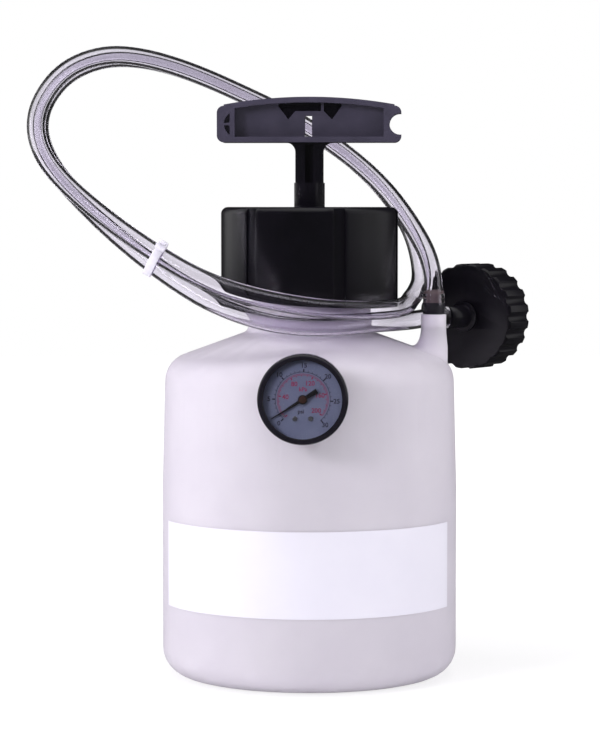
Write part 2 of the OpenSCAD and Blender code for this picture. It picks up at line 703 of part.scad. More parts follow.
// Outline of the T-bar from the front, inset by d
module bar_outline(d) {
    half = bar_l / 2 - d;
    r = max(bar_corner_r - d, 0.8);
    rise = (bar_fall * bar_fall + bar_l * bar_l / 4) / (2 * bar_fall);
    intersection() {
        union() {
            translate([-half + r, d]) square([2 * (half - r), bar_h]);
            translate([-half, d + r]) square([2 * half, bar_h - bar_fall - 2 * r - 2 * d]);
            for (s = [-1, 1]) {
                translate([s * (half - r), d + r]) circle(r);
                translate([s * (half - r), bar_h - bar_fall - r - d]) circle(r);
            }
        }
        translate([0, bar_h - rise]) circle(rise - d, $fn = 360);
    }
}
// Shallow reliefs under the T-bar's top flange, with a rib between two of them
relief_d = 1;
relief_top_z = bar_h;
relief_z = 11.8;
module web_reliefs() {
    edge_z = relief_z + 4.2;
    intersection() {
        bar_outline(bar_flange);
        union() {
            polygon([[-15.8, relief_top_z], [-15.8, edge_z + 2.5], [-10.8, relief_z], [-7.2, edge_z],
                     [5.9, edge_z], [5.9, relief_top_z]]);
            polygon([[7.3, relief_top_z], [7.3, edge_z], [11.5, relief_z], [16.4, edge_z + 2.5],
                     [16.4, relief_top_z]]);
        }
    }
}
// Curved slit in the T-bar's left block
slit_r = 6.4;
slit_w = 2.6;
slit_reach = 3.4;
slit_rib = 1.2;
module block_slit() {
    translate([-bar_l / 2 + bar_block + 1, (bar_h - bar_fall) / 2]) difference() {
        circle(slit_r);
        circle(slit_r - slit_w);
        translate([-slit_reach, -slit_r]) square(2 * slit_r);
        translate([-slit_r, -slit_rib / 2]) square([slit_r, slit_rib]);
    }
}
module handle() {
    pocket_d = (bar_d - bar_web) / 2;
    grip = bar_l / 2;
    color([0.12, 0.12, 0.14]) difference() {
        union() {
            translate([0, bar_d / 2, bar_z]) rotate([90, 0, 0]) linear_extrude(bar_d) bar_outline(0);
            translate([0, stem_d / 2, stem_z]) rotate([90, 0, 0]) linear_extrude(stem_d) difference() {
                square_on_base(stem_w + 2 * stem_fillet, stem_h + 1);
                for (s = [-1, 1]) {
                    translate([s * (stem_w / 2 + stem_fillet), stem_h - stem_fillet]) circle(stem_fillet);
                    translate([s * (stem_w / 2 + stem_fillet), -1])
                        square_on_base(2 * stem_fillet, stem_h - stem_fillet + 1);
                }
            }
            translate([0, 0, collar_z]) cylinder(r = rod_r, h = collar_h);
        }
        for (s = [-1, 1]) {
            translate([0, s * bar_d / 2 + (s > 0 ? 0.01 : pocket_d), bar_z]) rotate([90, 0, 0])
                linear_extrude(pocket_d + 0.01) intersection() {
                    bar_outline(bar_flange);
                    translate([-grip + bar_block, 0]) square([2 * (grip - bar_block), bar_h]);
                }
            translate([0, s * (bar_web / 2 - relief_d / 2) + relief_d / 2, bar_z]) rotate([90, 0, 0])
                linear_extrude(relief_d) web_reliefs();
            translate([0, s * (bar_d - slit_reach) / 2 + slit_reach / 2, bar_z]) rotate([90, 0, 0])
                linear_extrude(slit_reach) block_slit();
            translate([-stem_groove_w / 2, s > 0 ? stem_d / 2 - stem_groove_d : -stem_d / 2 - 1, stem_z])
                cube([stem_groove_w, stem_groove_d + 1, stem_h - 1]);
        }
        translate([-web_slot_w / 2 - 0.5, -bar_d, bar_z + bar_flange]) cube([web_slot_w, 2 * bar_d, web_slot_h]);
        translate([grip - notch_d + notch_h / 2, bar_d, bar_z + (bar_h - bar_fall) / 2]) rotate([90, 0, 0])
            linear_extrude(2 * bar_d) {
                circle(notch_h / 2);
                translate([0, -notch_h / 2]) square(notch_h);
            }
        translate([0, 0, collar_z - 1]) cylinder(r = tenon_r + running, h = collar_h);
    }
}
module square_on_base(w, h) { translate([-w / 2, 0]) square([w, h]); }

module adapter_cap() {
    cut_r = 3.2;
    color([0.09, 0.08, 0.11]) on_adapter() difference() {
        translate([0, 0, -adapter_t]) rotate_extrude() polygon([[0, 0], [adapter_r, 0], [adapter_r, adapter_t - 1],
            [adapter_r - 1, adapter_t], [0, adapter_t]]);
        translate([0, 0, -adapter_t - 1]) cylinder(r = socket_r, h = adapter_t - seal_depth + 1);
        translate([0, 0, -seal_depth - 1]) cylinder(r = socket_r - 2, h = adapter_gasket_t + 1);
        translate([0, 0, -seat_depth - 1]) cylinder(r = nut_pocket_r, h = seat_depth - adapter_face + 1);
        translate([0, 0, -adapter_t]) cylinder(r = swivel_r + running, h = adapter_t + 1);
        for (i = [0:scallops - 1]) rotate([0, 0, i * 360 / scallops])
            translate([adapter_r + cut_r - scallop_d, 0, -adapter_t - 1]) cylinder(r = cut_r, h = adapter_t + 2);
    }
}
module adapter_gasket() {
    color([0.15, 0.15, 0.15]) on_adapter() translate([0, 0, -seal_depth])
        ring(socket_r - 2 - running, gasket_in_r, adapter_gasket_t);
}

tank();
label();
outlet_barb();
outlet_collar();
pickup_tube();
hose();
zip_tie();
hose_elbow();
elbow_nut();
gauge_seal();
gauge_stem();
gauge_nut();
gauge_case();
gauge_bezel();
gauge_lens();
lens_seal();
gauge_dial();
dial_screws();
bourdon_tube();
movement_plates();
stop_pin();
needle();
pinion();
sector_gear();
pump_barrel();
barrel_guide();
rod_wiper();
neck_gasket();
screw_cap();
piston();
piston_seal();
rod_clip();
plunger_rod();
handle();
valve_disc();
adapter_cap();
adapter_gasket();
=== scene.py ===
"""Looks for a hand-pumped pressure tank with a dial gauge, a T-handle and a coiled clear hose.

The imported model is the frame: metres, +Z up, the gauge faces -Y. Each class below is one
sub-assembly. It builds its meshes, dresses them and hands them to the body they move with.
"""
import logging
import math
from dataclasses import dataclass, field
from enum import Enum

import bmesh  # noqa: E402
import bpy  # noqa: E402
from mathutils import Euler, Matrix, Vector  # noqa: E402

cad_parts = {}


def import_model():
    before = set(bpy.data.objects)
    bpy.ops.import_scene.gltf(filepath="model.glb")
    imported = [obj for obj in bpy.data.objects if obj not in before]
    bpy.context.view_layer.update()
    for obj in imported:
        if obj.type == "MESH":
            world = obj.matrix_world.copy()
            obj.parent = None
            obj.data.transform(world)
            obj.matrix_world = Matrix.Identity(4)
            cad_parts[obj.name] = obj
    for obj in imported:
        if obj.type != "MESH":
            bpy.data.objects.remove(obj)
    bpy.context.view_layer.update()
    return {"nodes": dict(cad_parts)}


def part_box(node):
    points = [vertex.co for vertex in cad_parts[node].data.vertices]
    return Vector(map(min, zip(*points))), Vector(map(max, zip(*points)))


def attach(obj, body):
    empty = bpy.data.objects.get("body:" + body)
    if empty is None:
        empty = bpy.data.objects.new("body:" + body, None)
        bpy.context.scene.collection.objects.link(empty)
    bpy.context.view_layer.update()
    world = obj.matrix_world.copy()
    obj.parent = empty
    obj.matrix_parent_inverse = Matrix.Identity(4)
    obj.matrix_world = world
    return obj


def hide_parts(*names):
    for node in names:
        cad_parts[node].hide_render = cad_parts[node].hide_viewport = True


logging.basicConfig(level=logging.INFO, format="%(name)s: %(message)s")
log = logging.getLogger("pressure_tank")

MM = 0.001
Point = tuple[float, float, float]
Profile = list[tuple[float, float]]


class Body(str, Enum):
    """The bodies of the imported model."""

    TANK = "tank"
    CAP = "cap"
    PLUNGER = "plunger"
    NEEDLE = "needle"
    ADAPTER = "adapter"


# ---------------------------------------------------------------- colour and node helpers

def linear(hex_code: str) -> tuple[float, float, float, float]:
    """Turns an sRGB hex colour into the linear colour that a shader takes.

    Args:
        hex_code: Six hex digits, such as "c8c2d0".

    Returns:
        Linear red, green and blue, and an alpha of 1.
    """
    parts = [int(hex_code[i:i + 2], 16) / 255 for i in (0, 2, 4)]
    r, g, b = [c / 12.92 if c <= 0.04045 else ((c + 0.055) / 1.055) ** 2.4 for c in parts]
    return (r, g, b, 1.0)


def add_node(tree: bpy.types.NodeTree, kind: str, settings: dict | None = None,
             inputs: dict | None = None) -> bpy.types.Node:
    """Adds one node, sets it up and links what feeds it.

    Args:
        tree: Node tree that takes the node.
        kind: Blender's name for the node type.
        settings: Properties of the node itself.
        inputs: Values or output sockets for its inputs, by name or by index.

    Returns:
        The new node.
    """
    node = tree.nodes.new(kind)
    for key, value in (settings or {}).items():
        setattr(node, key, value)
    for key, value in (inputs or {}).items():
        if isinstance(value, bpy.types.NodeSocket):
            tree.links.new(value, node.inputs[key])
        else:
            node.inputs[key].default_value = value
    return node


class Grain(Enum):
    """How a moulded or machined surface is broken up."""

    FINE = "even fine texture"
    FLOW = "long faint flow marks"
    TURNED = "rings left by turning"


@dataclass(frozen=True)
class Finish:
    """A real material with a small pattern in its colour, roughness and height.

    Pattern sizes are in millimetres and are worked into the scale of the noise.
    """

    name: str
    colour: str
    second: str
    roughness: float
    spread: float = 0.06
    metallic: float = 0.0
    ior: float = 1.5
    grain: Grain = Grain.FINE
    grain_mm: float = 0.8
    cloud_mm: float = 14.0
    relief: float = 0.12
    depth_mm: float = 0.05
    subsurface: float = 0.0
    scatter_mm: float = 2.0
    transmission: float = 0.0
    coat: float = 0.0
    lamps_through: bool = False
    axis: tuple[float, float, float] = (1.0, 1.0, 1.0)

    def make(self) -> bpy.types.Material:
        """Builds the material once and returns it on every later call."""
        known = bpy.data.materials.get(self.name)
        if known:
            return known
        material = bpy.data.materials.new(self.name)
        material.use_nodes = True
        tree = material.node_tree
        tree.nodes.clear()
        place = add_node(tree, "ShaderNodeTexCoord").outputs["Object"]
        stretched = add_node(tree, "ShaderNodeMapping", None,
                             {"Vector": place, "Scale": self.axis}).outputs["Vector"]
        cloud = add_node(tree, "ShaderNodeTexNoise", None,
                         {"Vector": place, "Scale": 1 / (self.cloud_mm * MM),
                          "Detail": 3.0, "Roughness": 0.55}).outputs["Fac"]
        fine = self._grain(tree, stretched)
        soft = add_node(tree, "ShaderNodeMapRange", None,
                        {"Value": cloud, "From Min": 0.3, "From Max": 0.7}).outputs["Result"]
        colour = add_node(tree, "ShaderNodeMix", {"data_type": "RGBA"},
                          {"Factor": soft, 6: linear(self.colour),
                           7: linear(self.second)}).outputs[2]
        rough = add_node(tree, "ShaderNodeMapRange", None,
                         {"Value": fine, "To Min": self.roughness - self.spread,
                          "To Max": self.roughness + self.spread}).outputs["Result"]
        bump = add_node(tree, "ShaderNodeBump", None,
                        {"Height": fine, "Strength": self.relief,
                         "Distance": self.depth_mm * MM}).outputs["Normal"]
        shader = add_node(tree, "ShaderNodeBsdfPrincipled", None,
                          {"Base Color": colour, "Roughness": rough, "Normal": bump,
                           "Metallic": self.metallic, "IOR": self.ior,
                           "Subsurface Weight": self.subsurface,
                           "Subsurface Radius": (1.0, 0.92, 1.0),
                           "Subsurface Scale": self.scatter_mm * MM,
                           "Transmission Weight": self.transmission,
                           "Coat Weight": self.coat, "Coat Roughness": 0.12})
        surface = shader.outputs["BSDF"]
        if self.lamps_through:
            shadow = add_node(tree, "ShaderNodeLightPath").outputs["Is Shadow Ray"]
            clear = add_node(tree, "ShaderNodeBsdfTransparent", None,
                             {"Color": linear(self.colour)}).outputs["BSDF"]
            surface = add_node(tree, "ShaderNodeMixShader", None,
                               {0: shadow, 1: surface, 2: clear}).outputs["Shader"]
        add_node(tree, "ShaderNodeOutputMaterial", None, {"Surface": surface})
        return material

    def _grain(self, tree: bpy.types.NodeTree,
               place: bpy.types.NodeSocket) -> bpy.types.NodeSocket:
        """Adds the fine pattern and returns its height, from 0 to 1."""
        if self.grain is Grain.TURNED:
            return add_node(tree, "ShaderNodeTexWave",
                            {"wave_type": "RINGS", "rings_direction": "SPHERICAL"},
                            {"Vector": place, "Scale": 0.3 / (self.grain_mm * MM),
                             "Distortion": 1.5, "Detail": 2.0}).outputs["Fac"]
        return add_node(tree, "ShaderNodeTexNoise", None,
                        {"Vector": place, "Scale": 1 / (self.grain_mm * MM),
                         "Detail": 4.0, "Roughness": 0.6}).outputs["Fac"]


# Blow-moulded natural polyethylene: milky, a little cool, and soft where light sinks into it.
# The slow unevenness of its wall is drawn 30 mm across, as such bottles show it.
MILKY_BOTTLE = Finish("milky_blow_moulded_polyethylene", "d9d3dc", "d2ccd6", 0.42, 0.05,
                      ior=1.5, grain_mm=9.0, cloud_mm=42.0, relief=0.10, depth_mm=0.5,
                      subsurface=0.35, scatter_mm=9.0)
# Pressure-sensitive vinyl: plain, bright and almost smooth.
WHITE_VINYL = Finish("plain_white_vinyl", "eeecf5", "eae8f2", 0.34, 0.04, grain_mm=3.0,
                     cloud_mm=30.0, relief=0.05, depth_mm=0.1)
# Polypropylene moulded in a spark-eroded tool: deep black with a satin, finely pebbled skin.
# The pebbles are about 0.15 mm; they are drawn at 0.5 mm so that they show.
SATIN_BLACK = Finish("satin_moulded_polypropylene", "0c0b10", "100e15", 0.30, 0.05, ior=1.49,
                     grain_mm=0.5, cloud_mm=18.0, relief=0.22, depth_mm=0.06)
# Glass-filled nylon from a polished tool: glossier, with faint flow marks along the bar. The
# T-handle also wears it as painted shade, on its stem under the bar and in the pockets of its
# web.
GLOSS_BLACK_AND_PAINTED_SHADE = Finish("polished_nylon_and_painted_shade", "0e0d12", "15131a", 0.24, 0.07, ior=1.53,
                     grain=Grain.FLOW, grain_mm=2.2, cloud_mm=16.0, relief=0.10, depth_mm=0.05,
                     axis=(0.25, 1.0, 1.0))
# The handle's nylon is filled with more glass and catches the light: charcoal, with flow marks.
# Its stem and the pockets of its web take the darker gloss black instead, as painted shade.
GREY_NYLON = Finish("glass_filled_nylon", "484455", "3f3c4b", 0.34, 0.08, ior=1.53,
                    grain=Grain.FLOW, grain_mm=1.6, cloud_mm=11.0, relief=0.16, depth_mm=0.06,
                    axis=(0.25, 1.0, 1.0))
# Clear extruded vinyl: smooth and glossy, with lines along its edges where its wall bends light.
CLEAR_VINYL = Finish("clear_extruded_vinyl", "ebe9ef", "e9e6ed", 0.0, 0.0, ior=1.33,
                     grain_mm=9.0, cloud_mm=30.0, relief=0.0, depth_mm=0.3, transmission=1.0,
                     lamps_through=True)
# Natural nylon: cloudy and slightly warm.
NATURAL_NYLON = Finish("natural_moulded_nylon", "eceaf2", "dedbe6", 0.38, 0.05, ior=1.53,
                       grain_mm=1.2, cloud_mm=5.0, relief=0.1, subsurface=0.4, scatter_mm=1.5)
# Smoke-brown nylon of the barb, seen through the hose.
SMOKE_NYLON = Finish("smoke_moulded_nylon", "6b5d5c", "5a4e4f", 0.35, 0.05, ior=1.53,
                     grain_mm=1.0, cloud_mm=4.0, relief=0.1)
# Extruded polyethylene tube: cloudy, with faint draw lines.
PICKUP_POLY = Finish("extruded_polyethylene", "d8dade", "cfd1d7", 0.36, 0.05, grain=Grain.FLOW,
                     grain_mm=1.2, cloud_mm=12.0, axis=(1.0, 1.0, 0.1), subsurface=0.3)
# Nitrile rubber: dull dark grey with a dusty bloom.
NITRILE = Finish("moulded_nitrile_rubber", "1b1a1e", "232227", 0.62, 0.08, grain_mm=0.6,
                 cloud_mm=5.0, relief=0.25, depth_mm=0.05)
# Brass bar turned on a lathe, dulled a little.
TURNED_BRASS = Finish("turned_brass", "d2b377", "b9985c", 0.30, 0.07, metallic=1.0,
                      grain=Grain.TURNED, grain_mm=0.35, cloud_mm=6.0, relief=0.12,
                      depth_mm=0.03)
# Drawn steel under stoved black enamel: a smooth gloss with a slight orange peel.
BLACK_ENAMEL = Finish("stoved_black_enamel", "16141b", "1c1a22", 0.20, 0.04, ior=1.52,
                      grain_mm=1.6, cloud_mm=9.0, relief=0.10, depth_mm=0.04, coat=0.3)
# Pressed clear lens.
CLEAR_LENS = Finish("clear_pressed_lens", "ffffff", "fdfdff", 0.03, 0.01, ior=1.49,
                    grain_mm=20.0, relief=0.02, depth_mm=0.05, transmission=1.0,
                    lamps_through=True)
# Bronze boss of the needle, browned.
DULL_BRONZE = Finish("browned_bronze", "4a2e26", "3c2620", 0.45, 0.06, metallic=0.4,
                     grain=Grain.TURNED, grain_mm=0.3, cloud_mm=3.0, relief=0.1, depth_mm=0.02)
# Printed dial plate: flat blue-grey paint.
DIAL_PAINT = Finish("printed_dial_plate", "666c86", "5f657f", 0.5, 0.04, grain_mm=0.8,
                    cloud_mm=10.0, relief=0.04, depth_mm=0.03)
# Printing ink, flat and slightly raised.
BLACK_INK = Finish("black_printing_ink", "12101c", "181624", 0.5, 0.03, grain_mm=0.5,
                   relief=0.05, depth_mm=0.02)
RED_INK = Finish("red_printing_ink", "7d1f40", "86274a", 0.5, 0.03, grain_mm=0.5,
                 relief=0.05, depth_mm=0.02)
# Bright turned steel.
BRIGHT_STEEL = Finish("bright_turned_steel", "c6c6cc", "b4b4bb", 0.27, 0.06, metallic=1.0,
                      grain=Grain.TURNED, grain_mm=0.3, cloud_mm=5.0, depth_mm=0.02)
# Matt black enamel of the needle.
NEEDLE_BLACK = Finish("needle_black_enamel", "0a090d", "100e13", 0.42, 0.04, grain_mm=0.6,
                      relief=0.06, depth_mm=0.02)
# Machined acetal: waxy white with turning marks.
ACETAL = Finish("machined_acetal", "e2e0dd", "d8d6d3", 0.32, 0.05, ior=1.48,
                grain=Grain.TURNED, grain_mm=0.4, cloud_mm=8.0, relief=0.08, depth_mm=0.03,
                subsurface=0.2, scatter_mm=1.0)

CAD_FINISHES: dict[str, Finish] = {
    "tank": MILKY_BOTTLE, "label": WHITE_VINYL, "outlet_barb": SMOKE_NYLON,
    "outlet_collar": NITRILE, "pickup_tube": PICKUP_POLY, "zip_tie": NATURAL_NYLON,
    "hose_elbow": GLOSS_BLACK_AND_PAINTED_SHADE, "elbow_nut": TURNED_BRASS, "gauge_seal": NITRILE,
    "gauge_stem": TURNED_BRASS, "gauge_nut": TURNED_BRASS, "gauge_case": BLACK_ENAMEL,
    "gauge_bezel": BLACK_ENAMEL, "gauge_lens": CLEAR_LENS, "lens_seal": NITRILE,
    "gauge_dial": DIAL_PAINT, "dial_screws": BRIGHT_STEEL, "bourdon_tube": TURNED_BRASS,
    "movement_plates": TURNED_BRASS, "stop_pin": BRIGHT_STEEL, "needle": NEEDLE_BLACK,
    "pinion": TURNED_BRASS, "sector_gear": TURNED_BRASS, "pump_barrel": SATIN_BLACK,
    "barrel_guide": SATIN_BLACK, "rod_wiper": NITRILE, "neck_gasket": NITRILE,
    "screw_cap": SATIN_BLACK, "piston": ACETAL, "piston_seal": NITRILE,
    "rod_clip": BRIGHT_STEEL, "plunger_rod": GLOSS_BLACK_AND_PAINTED_SHADE, "handle": GREY_NYLON,
    "valve_disc": NITRILE, "adapter_cap": SATIN_BLACK, "adapter_gasket": NITRILE,
    "hose": CLEAR_VINYL,
}


# ---------------------------------------------------------------- modelling helpers

def deselect() -> None:
    """Leaves object mode with nothing selected."""
    if bpy.context.object and bpy.context.object.mode != "OBJECT":
        bpy.ops.object.mode_set(mode="OBJECT")
    bpy.ops.object.select_all(action="DESELECT")


def choose(obj: bpy.types.Object) -> None:
    """Selects one object alone and makes it active."""
    deselect()
    obj.select_set(True)
    bpy.context.view_layer.objects.active = obj


def named(name: str) -> bpy.types.Object:
    """Names the active object and its mesh, and returns it."""
    obj = bpy.context.object
    obj.name = name
    obj.data.name = name
    return obj


def settle(obj: bpy.types.Object) -> bpy.types.Object:
    """Moves an object's place into its mesh and returns the object."""
    choose(obj)
    bpy.ops.object.transform_apply(location=True, rotation=True, scale=True)
    return obj


def smooth(obj: bpy.types.Object, angle_deg: float = 32.0) -> bpy.types.Object:
    """Shades an object smooth up to an angle and returns it."""
    choose(obj)
    bpy.ops.object.shade_smooth_by_angle(angle=math.radians(angle_deg))
    return obj


def apply_modifier(obj: bpy.types.Object, kind: str, **settings: object) -> None:
    """Adds a modifier with its settings and applies it at once."""
    choose(obj)
    modifier = obj.modifiers.new(kind.lower(), kind)
    for key, value in settings.items():
        setattr(modifier, key, value)
    bpy.ops.object.modifier_apply(modifier=modifier.name)


def dress(obj: bpy.types.Object, finish: Finish) -> bpy.types.Object:
    """Gives an object one finish all over and returns it."""
    obj.data.materials.clear()
    obj.data.materials.append(finish.make())
    return obj


def turned(name: str, profile: Profile, steps: int = 96,
           sweep_deg: float = 360.0) -> bpy.types.Object:
    """Turns a closed outline round the Z axis, as on a lathe.

    Args:
        name: Name of the piece.
        profile: Radius and height of each point, in millimetres, in order round the outline.
            A solid of revolution starts and ends its outline on the axis.
        steps: Number of flats round the piece.
        sweep_deg: How far the outline is turned, from +X.

    Returns:
        The turned piece, closed, with its faces outwards.
    """
    deselect()
    bpy.ops.mesh.primitive_plane_add(size=MM)
    obj = named(name)
    bpy.ops.object.mode_set(mode="EDIT")
    bpy.ops.mesh.select_all(action="SELECT")
    bpy.ops.mesh.merge(type="CENTER")
    r0, z0 = profile[0]
    bpy.ops.transform.translate(value=(r0 * MM, 0, z0 * MM))
    on_axis = profile[0][0] == 0 and profile[-1][0] == 0
    ends = profile[1:] + ([] if on_axis else profile[:1])
    for (r1, z1), (r2, z2) in zip(profile, ends):
        bpy.ops.mesh.extrude_region_move(
            TRANSFORM_OT_translate={"value": ((r2 - r1) * MM, 0, (z2 - z1) * MM)})
    bpy.ops.mesh.select_all(action="SELECT")
    bpy.ops.mesh.remove_doubles(threshold=1e-6)
    if sweep_deg < 360:
        bpy.ops.mesh.edge_face_add()
    bpy.ops.mesh.spin(steps=steps, angle=math.radians(sweep_deg), center=(0, 0, 0),
                      axis=(0, 0, 1))
    bpy.ops.mesh.select_all(action="SELECT")
    bpy.ops.mesh.remove_doubles(threshold=1e-6)
    bpy.ops.mesh.normals_make_consistent(inside=False)
    bpy.ops.object.mode_set(mode="OBJECT")
    return obj


def placed(obj: bpy.types.Object, matrix: Matrix) -> bpy.types.Object:
    """Moves a piece by a matrix, keeps its place in its mesh and returns it."""
    obj.matrix_world = matrix @ obj.matrix_world
    return settle(obj)


def softened(node: str, name: str, width_mm: float, angle_deg: float = 34.0,
             segments: int = 3) -> bpy.types.Object:
    """Copies a CAD node, joins its loose triangles and rounds its edges.

    Args:
        node: The CAD node that is copied and replaced.
        name: Name of the new piece.
        width_mm: Width of the rounding.
        angle_deg: Edges sharper than this are rounded.
        segments: Number of faces across the rounding.

    Returns:
        The new piece. The CAD node is hidden behind it.
    """
    source = bpy.data.objects[node]
    obj = bpy.data.objects.new(name, source.data.copy())
    bpy.context.scene.collection.objects.link(obj)
    choose(obj)
    bpy.ops.object.mode_set(mode="EDIT")
    bpy.ops.mesh.select_all(action="SELECT")
    bpy.ops.mesh.remove_doubles(threshold=2e-6)
    bpy.ops.mesh.dissolve_limited(angle_limit=math.radians(0.6))
    bpy.ops.object.mode_set(mode="OBJECT")
    apply_modifier(obj, "BEVEL", width=width_mm * MM, segments=segments, limit_method="ANGLE",
                   angle_limit=math.radians(angle_deg), use_clamp_overlap=True)
    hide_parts(node)
    return smooth(obj)


def joined(name: str, parts: list[bpy.types.Object]) -> bpy.types.Object:
    """Joins several pieces into one mesh under a new name and returns it."""
    choose(parts[0])
    for part in parts:
        part.select_set(True)
    bpy.ops.object.join()
    return named(name)


def block(size: Point, matrix: Matrix, edge_mm: float = 0.0) -> bpy.types.Object:
    """Adds a small bar of a size in millimetres, rounds its edges and places it.

    Args:
        size: Its length along each axis, in millimetres.
        matrix: Where it goes, in metres.
        edge_mm: Radius of its edges, or 0 for sharp ones.

    Returns:
        The bar.
    """
    deselect()
    bpy.ops.mesh.primitive_cube_add(size=1.0)
    bar = named("bar")
    bar.scale = Vector(size) * MM
    settle(bar)
    if edge_mm:
        apply_modifier(bar, "BEVEL", width=edge_mm * MM, segments=3, limit_method="NONE")
    return placed(bar, matrix)


def hand_over(obj: bpy.types.Object, body: Body) -> bpy.types.Object:
    """Lets a piece move with a body and reports it."""
    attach(obj, body.value)
    log.info("%s rides on %s, %d faces", obj.name, body.value, len(obj.data.polygons))
    return obj


# ---------------------------------------------------------------- hose

HOSE_ROUTE_MM: list[Point] = [
    (63.4, 0, 184.6), (63.4, 0, 197), (61.5, 3, 210.5), (55.5, 13, 224), (41, 36, 245),
    (22, 53, 263.5), (-5, 62, 282.5), (-38, 61, 299), (-72, 48, 313), (-103, 31, 318.5),
    (-127, 14, 309), (-139, -4, 287), (-134, -18, 265), (-114, -31, 244), (-83, -45, 221.5),
    (-50, -56.5, 203), (-18, -60, 193.5), (12, -58, 189), (36, -43, 188), (48, -22, 189),
    (51.5, -4, 192), (55.5, 10, 197.5), (57, 22, 206), (53, 39, 224), (41, 53, 244),
    (22, 64.5, 263.5), (-5, 73, 282), (-38, 72, 299), (-72, 59.5, 313), (-103, 43.5, 317.5),
    (-127, 27, 308), (-139, 9, 287), (-134, -5.5, 265), (-114, -20, 241.5),
    (-83, -36.5, 215), (-50, -50.5, 193.5), (-18, -59, 182.5), (10, -52, 180),
    (31, -34, 181), (43, -13, 181), (52, 6, 181), (61.5, 16.1, 182), (70.2, 21.1, 182)]


@dataclass
class HoseRun:
    """The clear hose, from the outlet tower twice round the pump to the elbow."""

    radius_mm: float = 4.75
    flare_mm: float = 5.6
    wall_mm: float = 1.5
    length_m: float = 1.22
    coarse: int = 2
    rounds: int = 2
    fade_points: int = 4
    sides: int = 10
    route: list[Point] = field(default_factory=lambda: list(HOSE_ROUTE_MM))

    def line(self) -> list[Vector]:
        """Returns the smooth centre line of the hose, in metres.

        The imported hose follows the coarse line. Each round cuts its corners, so that the
        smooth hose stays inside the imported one.
        """
        points = [Vector(p) * MM for p in self.route]
        points = [2 * points[0] - points[1], *points, 2 * points[-1] - points[-2]]
        line = []
        for a, b, c, d in zip(points, points[1:], points[2:], points[3:]):
            for k in range(self.coarse):
                t = k / self.coarse
                line.append(0.5 * (2 * b + (c - a) * t + (2 * a - 5 * b + 4 * c - d) * t * t
                                   + (3 * b - a - 3 * c + d) * t ** 3))
        line.append(points[-2])
        for _ in range(self.rounds):
            cut = [line[0]]
            for a, b in zip(line, line[1:]):
                cut += [a.lerp(b, 0.25), a.lerp(b, 0.75)]
            line = [*cut, line[-1]]
        return line

    def swell(self, i: int, count: int) -> float:
        """Returns how wide the hose is at a point of its line, as a share of its radius.

        It is flared at both ends, where it is pushed over a barb.
        """
        flared = self.coarse * 2 ** self.rounds
        start = min(1.0, max(0.0, (flared + self.fade_points - 1 - i) / self.fade_points))
        end = min(1.0, max(0.0, (i - (count - 1 - flared)) / self.fade_points))
        return 1 + (self.flare_mm / self.radius_mm - 1) * max(start, end)

    def build(self) -> bpy.types.Object:
        line = self.line()
        data = bpy.data.curves.new("clear_hose", "CURVE")
        data.dimensions = "3D"
        data.bevel_depth = self.radius_mm * MM
        data.bevel_resolution = self.sides
        spline = data.splines.new("POLY")
        spline.points.add(len(line) - 1)
        for i, (point, place) in enumerate(zip(spline.points, line)):
            point.co = (*place, 1.0)
            point.radius = self.swell(i, len(line))
        hose = bpy.data.objects.new("clear_hose", data)
        bpy.context.scene.collection.objects.link(hose)
        choose(hose)
        bpy.ops.object.convert(target="MESH")
        hose = named("clear_hose")
        bpy.ops.object.mode_set(mode="EDIT")
        bpy.ops.mesh.select_all(action="SELECT")
        bpy.ops.mesh.remove_doubles(threshold=1e-6)
        bpy.ops.mesh.normals_make_consistent(inside=False)
        bpy.ops.object.mode_set(mode="OBJECT")
        apply_modifier(hose, "SOLIDIFY", thickness=self.wall_mm * MM, offset=-1.0,
                       use_even_offset=True, use_rim=True)
        smooth(hose, 50)
        dress(hose, CLEAR_VINYL)
        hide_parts("hose")
        hand_over(hose, Body.TANK)
        return hose


# ---------------------------------------------------------------- bottle

